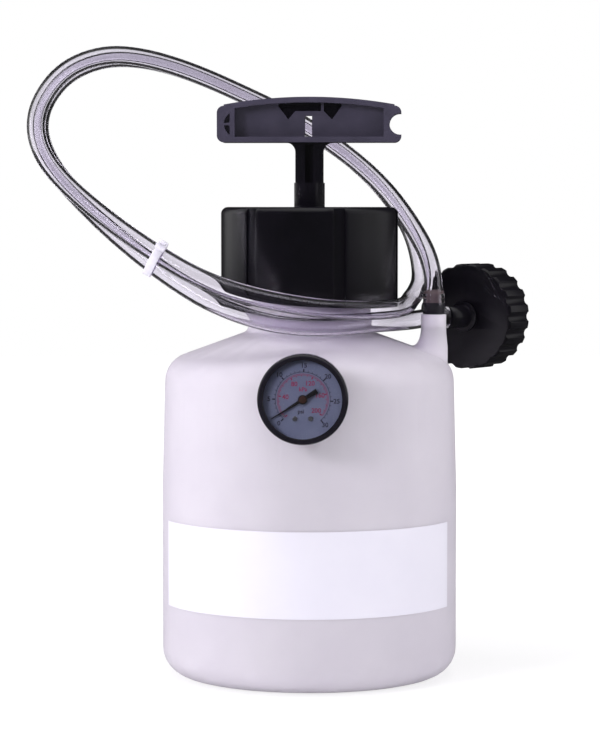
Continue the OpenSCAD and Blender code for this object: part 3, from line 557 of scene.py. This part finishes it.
@dataclass
class Bottle:
    """The blow-moulded tank and the soft root of its outlet tower."""

    tower_r_mm: float = 6.4
    root_r_mm: float = 12.0
    root_top_mm: float = 178.0
    root_rings: int = 8
    root_inset_mm: float = 0.6
    root_sink: float = 0.08
    shoulder_r_mm: float = 70.6
    tower_gap_mm: float = 0.1
    edge_mm: float = 0.45

    def shell(self) -> bpy.types.Object:
        """Copies the tank with its edges eased."""
        tank = softened("tank", "bottle", self.edge_mm, angle_deg=40, segments=2)
        return hand_over(dress(tank, MILKY_BOTTLE), Body.TANK)

    def tower_root(self, tank: bpy.types.Object) -> bpy.types.Object:
        """Builds the sweep of plastic between the outlet tower and the shoulder.

        Args:
            tank: The tank, whose shoulder the sweep is laid on.

        Returns:
            The closed collar of plastic.
        """
        reach = self.root_r_mm - self.tower_r_mm
        angles = [math.radians(90 * i / self.root_rings) for i in range(self.root_rings + 1)]
        profile = [(self.tower_r_mm + reach * (1 - math.cos(a)), 1 - math.sin(a))
                   for a in angles]
        inner = self.tower_r_mm - self.root_inset_mm
        profile += [(self.root_r_mm, -self.root_sink), (inner, -self.root_sink), (inner, 1.0)]
        root = turned("tower_root", profile, steps=48)
        bpy.context.view_layer.update()
        low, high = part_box("outlet_collar")
        axis = Vector(((low.x + high.x) / 2, (low.y + high.y) / 2, self.root_top_mm * MM))
        # Each point drops on to the shoulder. One that lies past the shoulder is pulled in first.
        for vertex in root.data.vertices:
            share = 1 - vertex.co.z / MM
            flat = Vector((vertex.co.x, vertex.co.y, 0.0))
            place = axis + flat
            over = math.hypot(place.x, place.y) / (self.shoulder_r_mm * MM)
            if over > 1:
                place = Vector((place.x / over, place.y / over, place.z))
            clear = (self.tower_r_mm + self.tower_gap_mm) * MM
            out = (place - axis).normalized() * max((place - axis).length, clear)
            hit, spot, _, _ = tank.ray_cast(axis + out, Vector((0, 0, -1)))
            floor_z = spot.z if hit else axis.z
            vertex.co = place + Vector((0, 0, share * (floor_z - axis.z)))
        smooth(root, 60)
        return hand_over(dress(root, MILKY_BOTTLE), Body.TANK)

    def build(self) -> None:
        """Builds the tank and the root of its tower."""
        self.tower_root(self.shell())


@dataclass
class Closure:
    """The black screw cap with its grip panels."""

    edge_mm: float = 0.8

    def build(self) -> None:
        """Builds the cap."""
        cap = softened("screw_cap", "screw_cap_moulded", self.edge_mm, segments=3)
        hand_over(dress(cap, SATIN_BLACK), Body.CAP)


@dataclass
class PumpHandle:
    """The T-bar, its stem and the collar."""

    edge_mm: float = 0.5
    bar_low_mm: float = 21.6
    relief_y_mm: float = 1.0

    def build(self) -> None:
        """Builds the handle, with painted shade on its stem and in the pockets of its web: those
        faces take the darker polished black.
        """
        bar = softened("handle", "t_handle", self.edge_mm, segments=3)
        dress(bar, GREY_NYLON)
        bar.data.materials.append(GLOSS_BLACK_AND_PAINTED_SHADE.make())
        bar_z = max(v.co.z for v in bar.data.vertices) - self.bar_low_mm * MM
        # Painted shade: the stem under the bar and the pocket floors of the web are the same
        # moulding as the bar, and are given the darker black because the bar and the pocket walls
        # shade them.
        for face in bar.data.polygons:
            pocket_in_painted_shade = abs(face.center.y) < self.relief_y_mm * MM and abs(face.normal.y) > 0.9
            if pocket_in_painted_shade or face.center.z < bar_z:
                face.material_index = 1
        hand_over(bar, Body.PLUNGER)


@dataclass
class Scale:
    """One scale of the dial: its arc, its marks and its numbers."""

    name: str
    finish: Finish
    full: float
    step: float
    small_step: float
    arc_r: float
    mark_in: float
    mark_out: float
    small_in: float
    small_out: float
    number_r: float
    number_h: float
    span_deg: float
    unit: str
    unit_at: tuple[float, float]


@dataclass
class PressureGauge:
    """The dial gauge: rolled bezel, domed lens, printed scales and the needle's hub."""

    z_mm: float = 147.0
    zero_deg: float = 225.0
    span_deg: float = 274.0
    psi_full: float = 30.0
    kpa_full: float = 200.0
    kpa_per_psi: float = 6.895
    face_mm: float = 91.4
    ink_mm: float = 0.05
    arc_w_mm: float = 0.22
    second_arc_in_mm: float = 0.55
    mark_w_mm: float = 0.62
    small_mark_w_mm: float = 0.26
    letter_size: float = 1.35
    letter_bold_mm: float = 0.06
    unit_size: float = 0.9
    bezel: Profile = field(default_factory=lambda: [
        (21.9, 86.4), (21.9, 93.3), (21.75, 94.1), (21.3, 94.85), (20.6, 95.3), (19.9, 95.38),
        (19.3, 95.2), (18.95, 94.85), (18.9, 94.62), (20.65, 94.62), (20.72, 94.5),
        (20.72, 86.4)])
    lens: Profile = field(default_factory=lambda: [
        (0, 93.42), (20.6, 93.42), (20.6, 94.5), (18.8, 94.58), (15, 94.85), (10, 95.08),
        (5, 95.2), (0, 95.24)])
    case: Profile = field(default_factory=lambda: [
        (5.2, 80.12), (17.6, 80.12), (19.3, 80.5), (20.3, 81.5), (20.6, 83), (20.6, 92.4),
        (19.85, 92.4), (19.85, 83), (19.3, 81.9), (17.6, 81), (5.2, 81)])

    def place(self) -> Matrix:
        """Returns the matrix that turns +Z to the gauge's front."""
        return (Matrix.Translation((0, 0, self.z_mm * MM))
                @ Euler((math.pi / 2, 0, 0)).to_matrix().to_4x4())

    def spot(self, r: float, angle_deg: float, lift: float = 0.0) -> Matrix:
        """Returns the matrix for something on the dial.

        Args:
            r: Distance from the middle, in millimetres.
            angle_deg: Direction, anticlockwise from the right.
            lift: Height above the dial, in millimetres.

        Returns:
            A matrix whose X points outwards along the dial.
        """
        turn = math.radians(angle_deg)
        return (self.place() @ Matrix.Translation((r * math.cos(turn) * MM,
                                                   r * math.sin(turn) * MM,
                                                   (self.face_mm + lift) * MM))
                @ Matrix.Rotation(turn, 4, "Z"))

    def scales(self) -> list[Scale]:
        """Returns the outer black scale and the inner red one."""
        kpa_span = self.span_deg / self.psi_full / self.kpa_per_psi * self.kpa_full
        return [
            Scale("scale_psi", BLACK_INK, self.psi_full, step=5, small_step=1, arc_r=13.0,
                  mark_in=13.0, mark_out=14.6, small_in=13.0, small_out=13.9, number_r=16.2,
                  number_h=2.3, span_deg=self.span_deg, unit="psi", unit_at=(-0.9, -5.8)),
            Scale("scale_kpa", RED_INK, self.kpa_full, step=40, small_step=10, arc_r=12.1,
                  mark_in=10.5, mark_out=11.7, small_in=10.9, small_out=11.7, number_r=8.35,
                  number_h=2.3, span_deg=kpa_span, unit="kPa", unit_at=(0.1, 4.8))]

    def words(self, text: str, height: float, x: float, y: float) -> bpy.types.Object:
        """Adds a number or a unit, upright on the dial.

        Args:
            text: What it says.
            height: Size of the letters, in millimetres.
            x: Distance to the right of the middle, in millimetres.
            y: Distance above the middle, in millimetres.

        Returns:
            The text as a mesh.
        """
        deselect()
        bpy.ops.object.text_add()
        obj = bpy.context.object
        obj.data.body = text
        obj.data.size = height * self.letter_size * MM
        obj.data.align_x = "CENTER"
        obj.data.align_y = "CENTER"
        obj.data.extrude = self.ink_mm / 2 * MM
        obj.data.offset = self.letter_bold_mm * MM
        obj.data.resolution_u = 4
        bpy.ops.object.convert(target="MESH")
        obj = named("word")
        spot = Matrix.Translation((x * MM, y * MM, (self.face_mm + self.ink_mm / 2) * MM))
        return placed(obj, self.place() @ spot)

    def mark(self, r_in: float, r_out: float, width: float, angle_deg: float
             ) -> bpy.types.Object:
        """Adds one line of a scale, from one radius to another."""
        return block((r_out - r_in, width, self.ink_mm),
                     self.spot((r_in + r_out) / 2, angle_deg, self.ink_mm / 2))

    def arc(self, r: float, span_deg: float) -> bpy.types.Object:
        """Adds a thin arc of ink that ends where a scale does."""
        low, high = self.face_mm, self.face_mm + self.ink_mm
        outer = r + self.arc_w_mm
        band = turned("arc", [(r, low), (outer, low), (outer, high), (r, high)],
                      steps=90, sweep_deg=span_deg)
        turn = Matrix.Rotation(math.radians(self.zero_deg), 4, "Z")
        return placed(band, self.place() @ turn)

    def print_scale(self, scale: Scale) -> None:
        """Prints one scale on the dial."""
        parts = [self.arc(scale.arc_r, scale.span_deg)]
        if scale.finish is RED_INK:
            parts.append(self.arc(scale.arc_r - self.second_arc_in_mm, scale.span_deg))
        count = round(scale.full / scale.small_step)
        per_large = round(scale.step / scale.small_step)
        for i in range(count + 1):
            angle = self.zero_deg - scale.span_deg * i / count
            if i % per_large:
                parts.append(self.mark(scale.small_in, scale.small_out, self.small_mark_w_mm,
                                       angle))
                continue
            parts.append(self.mark(scale.mark_in, scale.mark_out, self.mark_w_mm, angle))
            value = round(scale.full * i / count)
            if value or scale.finish is BLACK_INK:
                turn = math.radians(angle)
                parts.append(self.words(str(value), scale.number_h,
                                        scale.number_r * math.cos(turn),
                                        scale.number_r * math.sin(turn)))
        parts.append(self.words(scale.unit, scale.number_h * self.unit_size, *scale.unit_at))
        ink = joined(scale.name, parts)
        hand_over(dress(ink, scale.finish), Body.TANK)

    def round_part(self, name: str, profile: Profile, node: str, finish: Finish) -> None:
        """Turns one round piece of the gauge in place of its CAD node."""
        part = placed(turned(name, profile, steps=128), self.place())
        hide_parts(node)
        hand_over(dress(smooth(part, 40), finish), Body.TANK)

    def hub(self) -> None:
        """Builds the dull bronze boss in the middle of the needle."""
        profile = [(0, 92.96), (1.3, 92.94), (1.7, 92.88), (1.75, 92.82), (0, 92.82)]
        cap = placed(turned("needle_hub", profile, steps=48), self.place())
        hand_over(dress(smooth(cap, 50), DULL_BRONZE), Body.NEEDLE)

    def build(self) -> None:
        """Builds the gauge."""
        self.round_part("gauge_case_drawn", self.case, "gauge_case", BLACK_ENAMEL)
        self.round_part("gauge_bezel_rolled", self.bezel, "gauge_bezel", BLACK_ENAMEL)
        self.round_part("gauge_lens_domed", self.lens, "gauge_lens", CLEAR_LENS)
        for scale in self.scales():
            self.print_scale(scale)
        self.hub()


@dataclass
class ReservoirAdapter:
    """The scalloped adapter cap on its swivel elbow."""

    edge_mm: float = 0.6
    elbow_edge_mm: float = 0.4

    def build(self) -> None:
        """Builds the adapter and its elbow."""
        cap = softened("adapter_cap", "reservoir_adapter", self.edge_mm, angle_deg=30,
                       segments=3)
        hand_over(dress(cap, SATIN_BLACK), Body.ADAPTER)
        elbow = softened("hose_elbow", "swivel_elbow", self.elbow_edge_mm, segments=2)
        hand_over(dress(elbow, GLOSS_BLACK_AND_PAINTED_SHADE), Body.TANK)


@dataclass
class HoseTie:
    """The nylon tie that holds both turns of the hose together."""

    middle_mm: Point = (-75.0, -43.9, 213.3)
    along: Point = (0.855, 0.0, -0.52)
    to_head: Point = (0.32, -0.79, 0.525)
    strand_mm: float = 5.1
    gap_mm: float = 0.2
    band_mm: float = 1.2
    width_mm: float = 4.4
    edge_mm: float = 0.35
    head_mm: Point = (3.6, 4.8, 5.4)
    head_out_mm: float = 1.3
    head_edge_mm: float = 0.9
    tail_mm: Point = (2.4, 1.3, 3.4)
    tail_out_mm: float = 3.9
    tail_edge_mm: float = 0.4
    bend_steps: int = 14

    def outline(self, r: float, half: float) -> list[Vector]:
        """Returns the points of a stadium round two strands.

        Args:
            r: Radius of its two ends, in millimetres.
            half: Distance from its middle to the middle of an end, in millimetres.

        Returns:
            Its points, in metres, in a plane.
        """
        points = []
        for side in (1, -1):
            for k in range(self.bend_steps + 1):
                a = math.pi * (k / self.bend_steps - 0.5) + (0 if side > 0 else math.pi)
                points.append(Vector((side * half + r * math.cos(a), r * math.sin(a), 0)) * MM)
        return points

    def band(self, place: Matrix) -> bpy.types.Object:
        """Builds the strap as a closed ring, with its edges eased."""
        inner = self.strand_mm + self.gap_mm
        rings = []
        for r in (inner, inner + self.band_mm):
            for z in (-self.width_mm / 2, self.width_mm / 2):
                rings.append([p + Vector((0, 0, z * MM))
                              for p in self.outline(r, self.strand_mm)])
        low_in, high_in, low_out, high_out = rings
        mesh = bmesh.new()
        loops = [[mesh.verts.new(p) for p in ring]
                 for ring in (low_in, high_in, high_out, low_out)]
        count = len(low_in)
        for one, two in zip(loops, loops[1:] + loops[:1]):
            for k in range(count):
                mesh.faces.new((one[k], one[(k + 1) % count], two[(k + 1) % count], two[k]))
        bmesh.ops.recalc_face_normals(mesh, faces=mesh.faces)
        data = bpy.data.meshes.new("strap")
        mesh.to_mesh(data)
        mesh.free()
        strap = bpy.data.objects.new("strap", data)
        bpy.context.scene.collection.objects.link(strap)
        apply_modifier(strap, "BEVEL", width=self.edge_mm * MM, segments=2, limit_method="ANGLE",
                       angle_limit=math.radians(40))
        return placed(strap, place)

    def build(self) -> None:
        """Builds the tie: its strap, its ratchet head and the cut tail."""
        z = Vector(self.along).normalized()
        x = (Vector(self.to_head) - z * z.dot(Vector(self.to_head))).normalized()
        turn = Matrix((x, z.cross(x), z)).transposed().to_4x4()
        place = Matrix.Translation(Vector(self.middle_mm) * MM) @ turn
        reach = 2 * self.strand_mm + self.gap_mm + self.band_mm
        at_head = place @ Matrix.Translation(((reach + self.head_out_mm) * MM, 0, 0))
        at_tail = place @ Matrix.Translation(((reach + self.tail_out_mm) * MM, 0, 0))
        head = block(self.head_mm, at_head, self.head_edge_mm)
        tail = block(self.tail_mm, at_tail, self.tail_edge_mm)
        tie = joined("hose_tie", [self.band(place), head, tail])
        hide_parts("zip_tie")
        hand_over(dress(smooth(tie, 40), NATURAL_NYLON), Body.TANK)


# ---------------------------------------------------------------- studio

@dataclass(frozen=True)
class SoftBox:
    """A soft box as glossy surfaces mirror it.

    Each pair is a turn from the front (to the right is positive) and a height, in degrees.
    """

    level: float
    middle_deg: tuple[float, float]
    half_deg: tuple[float, float]
    soft_deg: tuple[float, float]


@dataclass
class Studio:
    """Camera, lamps, white surroundings and a pale floor."""

    distance_mm: float = 1400.0
    swing_deg: float = 2.0
    camera_z_mm: float = 239.0
    aim_z_mm: float = 156.2
    aim_left_mm: float = 4.85
    lens_mm: float = 133.66
    floor_r: float = 3.0
    ambient: float = 0.34
    dark_room: float = 0.015
    dark_floor: float = 0.05
    bounce: float = 0.28
    glow: float = 0.70
    glow_near: float = 0.12
    glow_far: float = 0.5
    boxes: tuple[SoftBox, ...] = (
        SoftBox(0.75, (-113.0, 5.0), (25.0, 50.0), (7.0, 14.0)),
        SoftBox(0.40, (90.0, 5.0), (36.0, 50.0), (10.0, 14.0)),
        SoftBox(0.7, (0.0, 80.0), (180.0, 24.0), (1.0, 10.0)))

    def camera(self) -> None:
        """Adds the camera, in front of the gauge and a little above it."""
        swing = math.radians(self.swing_deg)
        place = Vector((math.sin(swing) * self.distance_mm, -math.cos(swing) * self.distance_mm,
                        self.camera_z_mm)) * MM
        aim = Vector((-math.cos(swing) * self.aim_left_mm, -math.sin(swing) * self.aim_left_mm,
                      self.aim_z_mm)) * MM
        data = bpy.data.cameras.new("camera")
        data.lens = self.lens_mm
        data.sensor_width = 36.0
        data.sensor_fit = "AUTO"
        data.clip_start = 0.05
        camera = bpy.data.objects.new("camera", data)
        camera.location = place
        camera.rotation_euler = (aim - place).to_track_quat("-Z", "Y").to_euler()
        bpy.context.scene.collection.objects.link(camera)
        bpy.context.scene.camera = camera

    def lamp(self, name: str, place: Point, aim: Point, size: tuple[float, float],
             watts: float, colour: str = "fbf8ff") -> None:
        """Adds one soft rectangular lamp, which glossy surfaces don't mirror.

        What they mirror is the room that surroundings() paints.

        Args:
            name: Name of the lamp.
            place: Where it stands, in metres.
            aim: The point that it faces.
            size: Its width and height, in metres.
            watts: Its power.
            colour: Its colour as sRGB hex.
        """
        data = bpy.data.lights.new(name, "AREA")
        data.shape = "RECTANGLE"
        data.size, data.size_y = size
        data.energy = watts
        data.color = linear(colour)[:3]
        lamp = bpy.data.objects.new(name, data)
        lamp.location = place
        lamp.rotation_euler = (Vector(aim) - Vector(place)).to_track_quat("-Z", "Y").to_euler()
        lamp.visible_glossy = False
        bpy.context.scene.collection.objects.link(lamp)

    def panel(self, tree: bpy.types.NodeTree, angles: tuple[bpy.types.NodeSocket, ...],
              box: SoftBox) -> bpy.types.NodeSocket:
        """Paints one soft box on the room and returns its brightness.

        Args:
            tree: The world's nodes.
            angles: The direction of a ray: its turn from the front and its height, in radians.
            box: The soft box that is painted.

        Returns:
            The socket that carries its brightness.
        """
        level = box.level
        for angle, middle, half, soft in zip(angles, box.middle_deg, box.half_deg, box.soft_deg):
            off = add_node(tree, "ShaderNodeMath", {"operation": "SUBTRACT"},
                           {0: angle, 1: math.radians(middle)}).outputs[0]
            size = add_node(tree, "ShaderNodeMath", {"operation": "ABSOLUTE"},
                            {0: off}).outputs[0]
            edge = add_node(tree, "ShaderNodeMapRange", {"interpolation_type": "SMOOTHSTEP"},
                            {"Value": size, "From Min": math.radians(half - soft),
                             "From Max": math.radians(half + soft), "To Min": 1.0,
                             "To Max": 0.0}).outputs["Result"]
            level = add_node(tree, "ShaderNodeMath", {"operation": "MULTIPLY"},
                             {0: edge, 1: level}).outputs[0]
        return level

    def to_the_eye(self, tree: bpy.types.NodeTree, rays: bpy.types.NodeInputs
                   ) -> bpy.types.NodeSocket:
        """Returns 1 for a ray from the camera that nothing but clear plastic has turned."""
        turns = add_node(tree, "ShaderNodeMath", {"operation": "ADD"},
                         {0: rays["Diffuse Depth"], 1: rays["Glossy Depth"]}).outputs[0]
        straight = add_node(tree, "ShaderNodeMath", {"operation": "LESS_THAN"},
                            {0: turns, 1: 0.5}).outputs[0]
        through = add_node(tree, "ShaderNodeMath", {"operation": "MULTIPLY"},
                           {0: rays["Is Transmission Ray"], 1: straight}).outputs[0]
        return add_node(tree, "ShaderNodeMath", {"operation": "MAXIMUM"},
                        {0: rays["Is Camera Ray"], 1: through}).outputs[0]

    def surroundings(self) -> None:
        """Makes the world white where it is seen, soft where it lights, and painted where
        glossy surfaces mirror it."""
        world = bpy.data.worlds.new("white_room")
        bpy.context.scene.world = world
        world.use_nodes = True
        tree = world.node_tree
        tree.nodes.clear()
        rays = add_node(tree, "ShaderNodeLightPath").outputs
        facing = add_node(tree, "ShaderNodeTexCoord").outputs["Generated"]
        parts = add_node(tree, "ShaderNodeSeparateXYZ", None, {"Vector": facing}).outputs
        front = add_node(tree, "ShaderNodeMath", {"operation": "MULTIPLY"},
                         {0: parts["Y"], 1: -1.0}).outputs[0]
        turn = add_node(tree, "ShaderNodeMath", {"operation": "ARCTAN2"},
                        {0: parts["X"], 1: front}).outputs[0]
        rise = add_node(tree, "ShaderNodeMath", {"operation": "ARCSINE"},
                        {0: parts["Z"]}).outputs[0]
        room = self.dark_room
        for box in self.boxes:
            lit = self.panel(tree, (turn, rise), box)
            room = add_node(tree, "ShaderNodeMath", {"operation": "ADD"},
                            {0: lit, 1: room}).outputs[0]
        seen = self.to_the_eye(tree, rays)
        shine = add_node(tree, "ShaderNodeMath", {"operation": "MINIMUM"},
                         {0: rays["Glossy Depth"], 1: 1.0}).outputs[0]
        clear = add_node(tree, "ShaderNodeMix", {"data_type": "FLOAT"},
                         {"Factor": shine, 2: self.ambient, 3: room}).outputs[0]
        strength = add_node(tree, "ShaderNodeMix", {"data_type": "FLOAT"},
                            {"Factor": seen, 2: clear, 3: 1.0}).outputs[0]
        sky = add_node(tree, "ShaderNodeBackground", None,
                       {"Color": linear("ffffff"), "Strength": strength})
        add_node(tree, "ShaderNodeOutputWorld", None, {"Surface": sky.outputs[0]})

    def floor(self) -> None:
        """Adds a pale floor: white to the eye but for the object's shadow, and dim in glossy
        surfaces."""
        deselect()
        bpy.ops.mesh.primitive_circle_add(vertices=96, radius=self.floor_r, fill_type="NGON",
                                          location=(0, 0, -0.0002))
        floor = settle(named("floor"))
        material = bpy.data.materials.new("pale_floor")
        material.use_nodes = True
        tree = material.node_tree
        tree.nodes.clear()
        rays = add_node(tree, "ShaderNodeLightPath").outputs
        place = add_node(tree, "ShaderNodeTexCoord").outputs["Object"]
        far = add_node(tree, "ShaderNodeVectorMath", {"operation": "LENGTH"},
                       {0: place}).outputs["Value"]
        glow = add_node(tree, "ShaderNodeMapRange", {"interpolation_type": "SMOOTHSTEP"},
                        {"Value": far, "From Min": self.glow_near, "From Max": self.glow_far,
                         "To Min": self.glow, "To Max": 1.0}).outputs["Result"]
        white = add_node(tree, "ShaderNodeEmission", None,
                         {"Color": linear("ffffff"), "Strength": glow}).outputs[0]
        shaded = add_node(tree, "ShaderNodeBsdfDiffuse", None,
                          {"Color": linear("a0a0a0")}).outputs[0]
        both = add_node(tree, "ShaderNodeAddShader", None, {0: white, 1: shaded}).outputs[0]
        paper = add_node(tree, "ShaderNodeBsdfDiffuse", None,
                         {"Color": linear("e6e6e8")}).outputs[0]
        bounce = add_node(tree, "ShaderNodeEmission", None,
                          {"Color": linear("ffffff"), "Strength": self.bounce}).outputs[0]
        plain = add_node(tree, "ShaderNodeAddShader", None, {0: paper, 1: bounce}).outputs[0]
        dim = add_node(tree, "ShaderNodeEmission", None,
                       {"Color": linear("ffffff"), "Strength": self.dark_floor}).outputs[0]
        seen = self.to_the_eye(tree, rays)
        lights = add_node(tree, "ShaderNodeMixShader", None,
                          {0: rays["Is Glossy Ray"], 1: plain, 2: dim}).outputs[0]
        mixed = add_node(tree, "ShaderNodeMixShader", None, {0: seen, 1: lights, 2: both})
        add_node(tree, "ShaderNodeOutputMaterial", None, {"Surface": mixed.outputs[0]})
        floor.data.materials.append(material)

    def build(self) -> None:
        """Builds the camera, the lamps, the surroundings and the floor."""
        bpy.context.scene.view_settings.view_transform = "Standard"
        self.camera()
        self.surroundings()
        self.floor()
        self.lamp("left_box", (-1.0, 0.10, 0.30), (0, 0, 0.13), (0.6, 1.0), 6.0)
        self.lamp("right_box", (1.0, -0.05, 0.30), (0, 0, 0.13), (0.6, 1.0), 5.0)
        self.lamp("left_key", (-0.85, -1.0, 0.62), (0, 0, 0.13), (0.35, 0.35), 8.0)
        self.lamp("front_fill", (0.35, -1.5, 0.9), (0, 0, 0.10), (1.2, 0.8), 2.0)
        self.lamp("top_box", (0.0, -0.15, 1.25), (0, 0, 0.2), (0.9, 0.7), 6.0)


def dress_frame(nodes: dict[str, bpy.types.Object]) -> None:
    """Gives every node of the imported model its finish."""
    for name, node in nodes.items():
        dress(node, CAD_FINISHES[name])


def main() -> None:
    """Loads the frame, builds each sub-assembly in order and sets the studio."""
    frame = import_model()
    dress_frame(frame["nodes"])
    for part in (Bottle(), Closure(), PumpHandle(), PressureGauge(), ReservoirAdapter(),
                 HoseTie(), HoseRun(), Studio()):
        log.info("building %s", type(part).__name__)
        part.build()


if __name__ == "__main__":
    main()
